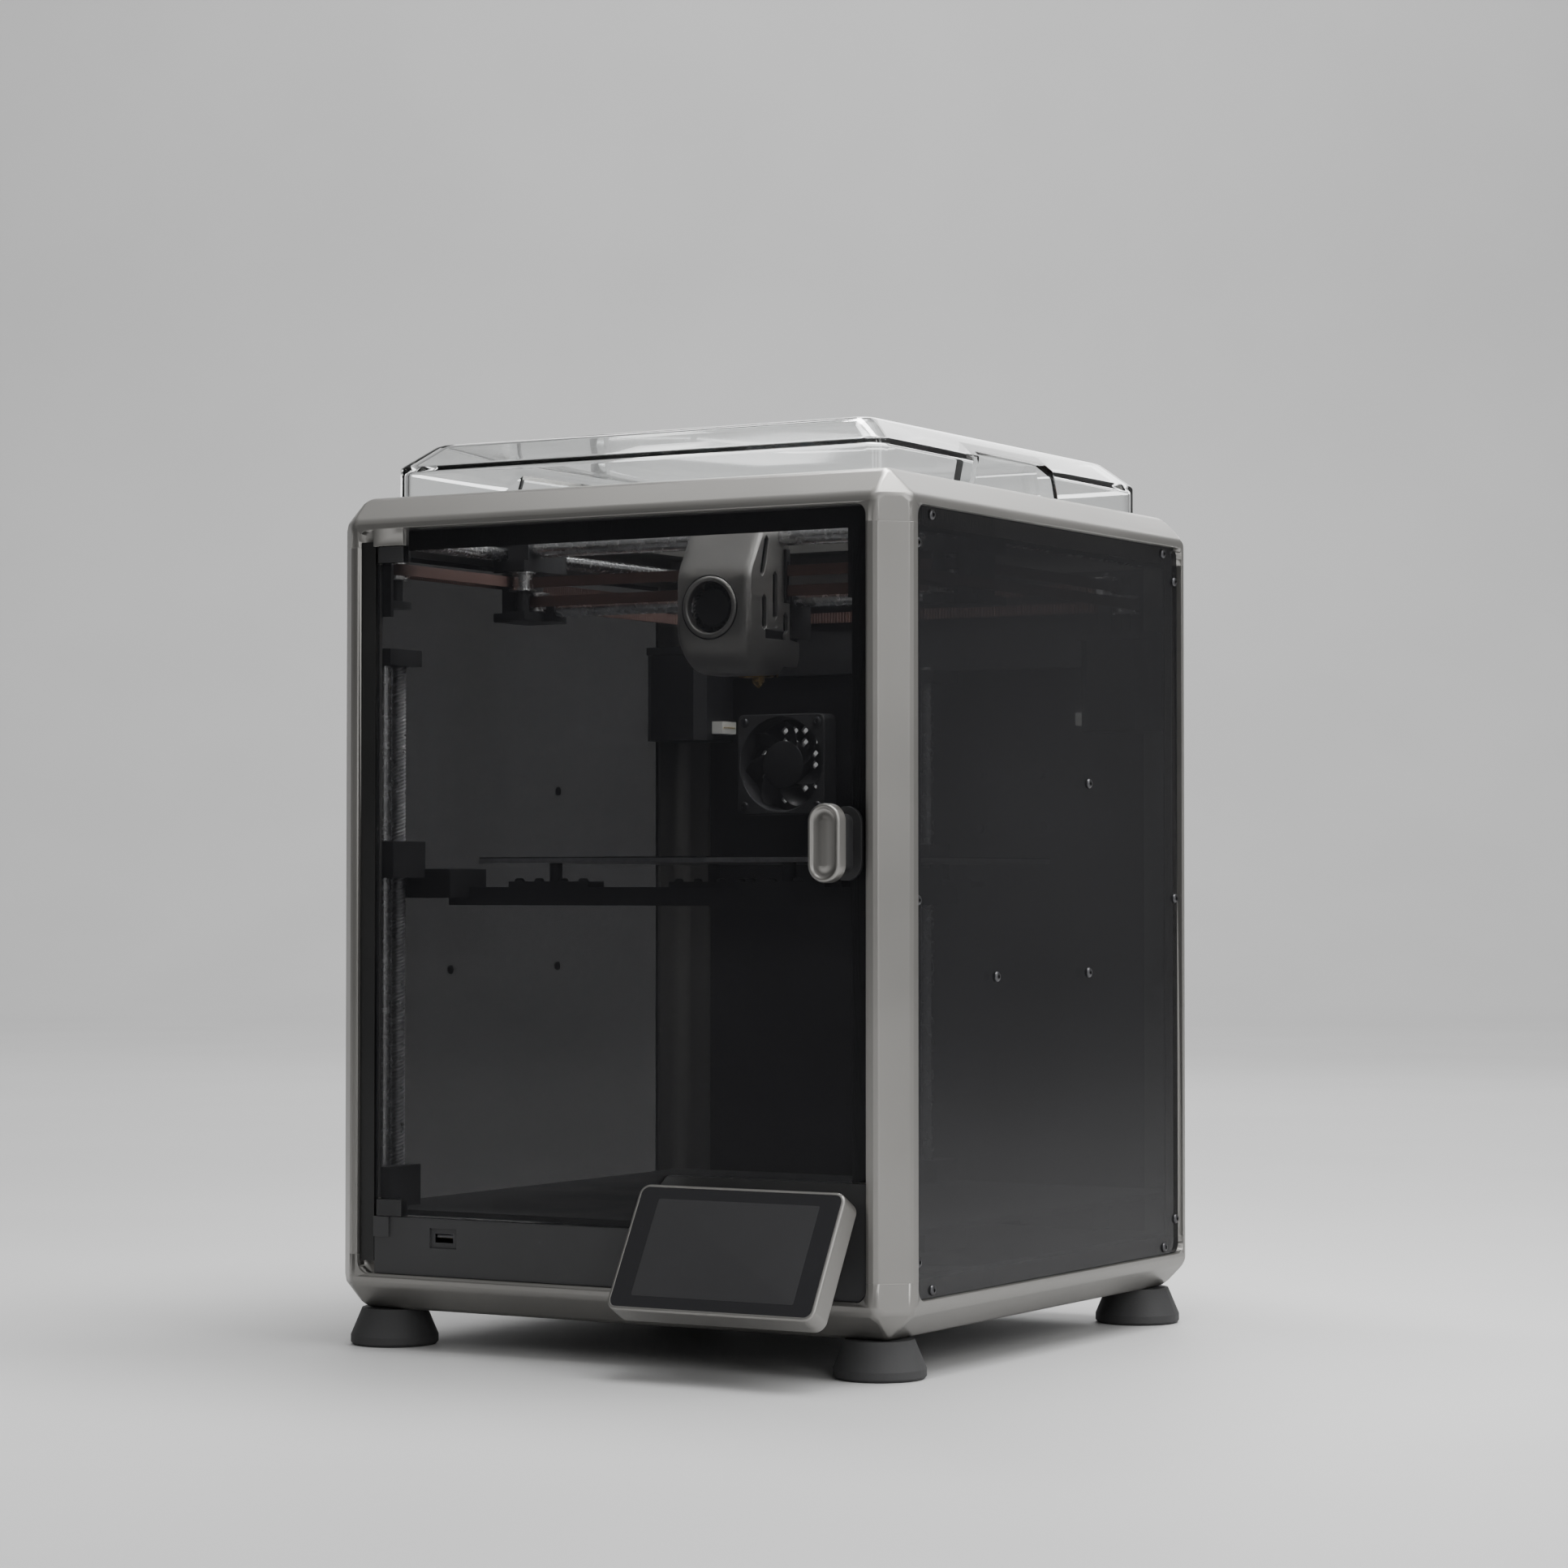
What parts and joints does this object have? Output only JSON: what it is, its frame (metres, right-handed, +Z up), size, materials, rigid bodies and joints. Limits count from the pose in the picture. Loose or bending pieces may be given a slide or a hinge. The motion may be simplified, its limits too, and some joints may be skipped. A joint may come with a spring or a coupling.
{
  "type": "fdm printer",
  "caption": "Enclosed core-XY desktop 3-D printer with chamfered metal frame, tinted hinged door, clear lift-off lid, tilted front display, moving head and rising heated bed.",
  "frame": {"origin": "centre of the bounding box at the surface the feet stand on", "axes": "+Z up, front towards -Y, +X to the right seen from the front"},
  "size_m": [0.355, 0.406, 0.492],
  "materials": {
    "satin_frame": "satin metallic paint",
    "smoke_panel": "smoke tinted, polished",
    "smoke_door": "smoke tinted, polished",
    "clear_lid": "clear, polished",
    "black_panel": "matt black",
    "dark_plastic": "fine texture",
    "black_plastic": "fine texture",
    "screen_glass": "polished",
    "foot_rubber": "matt",
    "screw_steel": "black oxide",
    "chrome_rod": "ground and polished",
    "steel": "plain steel",
    "idler_alloy": "turned",
    "motor_body": "satin black",
    "belt_rubber": "ribbed",
    "circuit_board": "satin",
    "brass": "machined",
    "bed_alloy": "milled",
    "print_surface": "fine powder texture",
    "bed_carrier": "matt black",
    "rocker_plastic": "moulded"
  },
  "bodies": {
    "chassis": {"top_frame": "satin_frame", "bottom_frame": "satin_frame", "front_posts": "satin_frame", "rear_posts": "satin_frame", "side_panel_left": "smoke_panel", "side_panel_right": "smoke_panel", "back_panel": "black_panel", "chamber_floor": "black_panel", "base_cover": "black_panel", "front_fascia": "dark_plastic", "door_trim": "dark_plastic", "usb_port": "steel", "display_bracket": "black_plastic", "display_housing": "satin_frame", "display_glass": "screen_glass", "feet": "foot_rubber", "panel_screws": "screw_steel", "guide_rods": "chrome_rod", "idler_brackets": "black_plastic", "stepper_motors": "motor_body", "rear_beam": "black_panel", "belt_fixed_runs": "belt_rubber", "belt_y_runs": "belt_rubber", "z_brackets": "black_plastic", "z_belt": "belt_rubber", "power_supply": "steel", "mainboard": "circuit_board", "power_inlet": "black_plastic", "exhaust_fan_frame": "black_plastic"},
    "door": {"door_glass": "smoke_door", "door_handle": "satin_frame", "door_handle_plate": "black_plastic", "door_hinge_blocks": "black_plastic"},
    "lid": {"lid": "clear_lid"},
    "gantry": {"y_carriages": "black_plastic", "x_rods": "chrome_rod", "x_belts": "belt_rubber"},
    "head": {"head_shell": "satin_frame", "head_carriage": "black_plastic", "hotend": "brass"},
    "bed": {"bed_plate": "bed_alloy", "build_sheet": "print_surface", "bed_frame": "bed_carrier", "bed_standoffs": "black_plastic"},
    "exhaust_rotor": {"exhaust_rotor": "black_plastic"},
    "blower_impeller": {"blower_impeller": "black_plastic"},
    "power_switch": {"power_switch": "rocker_plastic"},
    "lead_screw_front_left": {"lead_screw_front_left": "steel"},
    "lead_screw_front_right": {"lead_screw_front_right": "steel"},
    "lead_screw_rear": {"lead_screw_rear": "steel"},
    "motor_pulley_upper": {"motor_pulley_upper": "idler_alloy"},
    "front_idler_upper": {"front_idler_upper": "idler_alloy"},
    "rear_idler_upper": {"rear_idler_upper": "idler_alloy"},
    "carriage_front_idler_upper": {"carriage_front_idler_upper": "idler_alloy"},
    "carriage_rear_idler_upper": {"carriage_rear_idler_upper": "idler_alloy"},
    "motor_pulley_lower": {"motor_pulley_lower": "idler_alloy"},
    "front_idler_lower": {"front_idler_lower": "idler_alloy"},
    "rear_idler_lower": {"rear_idler_lower": "idler_alloy"},
    "carriage_front_idler_lower": {"carriage_front_idler_lower": "idler_alloy"},
    "carriage_rear_idler_lower": {"carriage_rear_idler_lower": "idler_alloy"}
  },
  "joints": [
    {"name": "door_hinge", "type": "hinge", "parent": "chassis", "child": "door", "pos_m": [-0.1442, -0.14842, 0.255], "axis": [0, 0, -1], "range_deg": [0, 110]},
    {"name": "lid_lift", "type": "slide", "parent": "chassis", "child": "lid", "axis": [0, 0, 1], "range_m": [0, 0.06]},
    {"name": "gantry_y", "type": "slide", "parent": "chassis", "child": "gantry", "axis": [0, 1, 0], "range_m": [-0.081, 0.138], "deforming": ["belt_y_runs"]},
    {"name": "head_x", "type": "slide", "parent": "gantry", "child": "head", "axis": [1, 0, 0], "range_m": [-0.107, 0.084]},
    {"name": "bed_z", "type": "slide", "parent": "chassis", "child": "bed", "axis": [0, 0, 1], "range_m": [-0.155, 0.093]},
    {"name": "exhaust_spin", "type": "hinge", "parent": "chassis", "child": "exhaust_rotor", "pos_m": [-0.0875, 0.18548, 0.3234], "axis": [0, 1, 0], "continuous": true},
    {"name": "blower_spin", "type": "hinge", "parent": "head", "child": "blower_impeller", "pos_m": [0.0106, -0.05252, 0.4006], "axis": [0, 1, 0], "continuous": true},
    {"name": "power_rocker", "type": "hinge", "parent": "chassis", "child": "power_switch", "pos_m": [0.06, 0.19748, 0.061], "axis": [1, 0, 0], "range_deg": [0, 16]},
    {"name": "lead_screw_front_left_spin", "type": "hinge", "parent": "chassis", "child": "lead_screw_front_left", "pos_m": [-0.155, -0.11902, 0.2], "axis": [0, 0, 1], "range_deg": [-4300, 7050]},
    {"name": "lead_screw_front_right_spin", "type": "hinge", "parent": "chassis", "child": "lead_screw_front_right", "pos_m": [0.155, -0.11902, 0.2], "axis": [0, 0, 1], "range_deg": [-4300, 7050]},
    {"name": "lead_screw_rear_spin", "type": "hinge", "parent": "chassis", "child": "lead_screw_rear", "pos_m": [0, 0.17548, 0.2], "axis": [0, 0, 1], "range_deg": [-4300, 7050]},
    {"name": "motor_pulley_upper_spin", "type": "hinge", "parent": "chassis", "child": "motor_pulley_upper", "pos_m": [-0.1475, 0.17298, 0.422], "axis": [0, 0, 1], "range_deg": [-1250, 1250]},
    {"name": "front_idler_upper_spin", "type": "hinge", "parent": "chassis", "child": "front_idler_upper", "pos_m": [-0.1475, -0.13252, 0.422], "axis": [0, 0, 1], "range_deg": [-1250, 1250]},
    {"name": "rear_idler_upper_spin", "type": "hinge", "parent": "chassis", "child": "rear_idler_upper", "pos_m": [0.134, 0.17298, 0.422], "axis": [0, 0, 1], "range_deg": [-1250, 1250]},
    {"name": "carriage_front_idler_upper_spin", "type": "hinge", "parent": "gantry", "child": "carriage_front_idler_upper", "pos_m": [-0.134, -0.02937, 0.422], "axis": [0, 0, 1], "range_deg": [-1000, 1000]},
    {"name": "carriage_rear_idler_upper_spin", "type": "hinge", "parent": "gantry", "child": "carriage_rear_idler_upper", "pos_m": [0.134, -0.01587, 0.422], "axis": [0, 0, 1], "range_deg": [-1000, 1000]},
    {"name": "motor_pulley_lower_spin", "type": "hinge", "parent": "chassis", "child": "motor_pulley_lower", "pos_m": [0.1475, 0.17298, 0.411], "axis": [0, 0, 1], "range_deg": [-1250, 1250]},
    {"name": "front_idler_lower_spin", "type": "hinge", "parent": "chassis", "child": "front_idler_lower", "pos_m": [0.1475, -0.13252, 0.411], "axis": [0, 0, 1], "range_deg": [-1250, 1250]},
    {"name": "rear_idler_lower_spin", "type": "hinge", "parent": "chassis", "child": "rear_idler_lower", "pos_m": [-0.134, 0.17298, 0.411], "axis": [0, 0, 1], "range_deg": [-1250, 1250]},
    {"name": "carriage_front_idler_lower_spin", "type": "hinge", "parent": "gantry", "child": "carriage_front_idler_lower", "pos_m": [0.134, -0.02937, 0.411], "axis": [0, 0, 1], "range_deg": [-1000, 1000]},
    {"name": "carriage_rear_idler_lower_spin", "type": "hinge", "parent": "gantry", "child": "carriage_rear_idler_lower", "pos_m": [-0.134, -0.01587, 0.411], "axis": [0, 0, 1], "range_deg": [-1000, 1000]}
  ],
  "couplings": [
    {"joint": "lead_screw_front_left_spin", "follows": "bed_z", "rad_per_m": -785.4},
    {"joint": "lead_screw_front_right_spin", "follows": "bed_z", "rad_per_m": -785.4},
    {"joint": "lead_screw_rear_spin", "follows": "bed_z", "rad_per_m": -785.4},
    {"joint": "motor_pulley_upper_spin", "follows": "gantry_y", "rad_per_m": 148.15},
    {"joint": "front_idler_upper_spin", "follows": "gantry_y", "rad_per_m": 148.15},
    {"joint": "rear_idler_upper_spin", "follows": "gantry_y", "rad_per_m": 148.15},
    {"joint": "carriage_front_idler_upper_spin", "follows": "head_x", "rad_per_m": -148.15},
    {"joint": "carriage_rear_idler_upper_spin", "follows": "head_x", "rad_per_m": 148.15},
    {"joint": "motor_pulley_lower_spin", "follows": "gantry_y", "rad_per_m": -148.15},
    {"joint": "front_idler_lower_spin", "follows": "gantry_y", "rad_per_m": -148.15},
    {"joint": "rear_idler_lower_spin", "follows": "gantry_y", "rad_per_m": -148.15},
    {"joint": "carriage_front_idler_lower_spin", "follows": "head_x", "rad_per_m": -148.15},
    {"joint": "carriage_rear_idler_lower_spin", "follows": "head_x", "rad_per_m": 148.15}
  ]
}
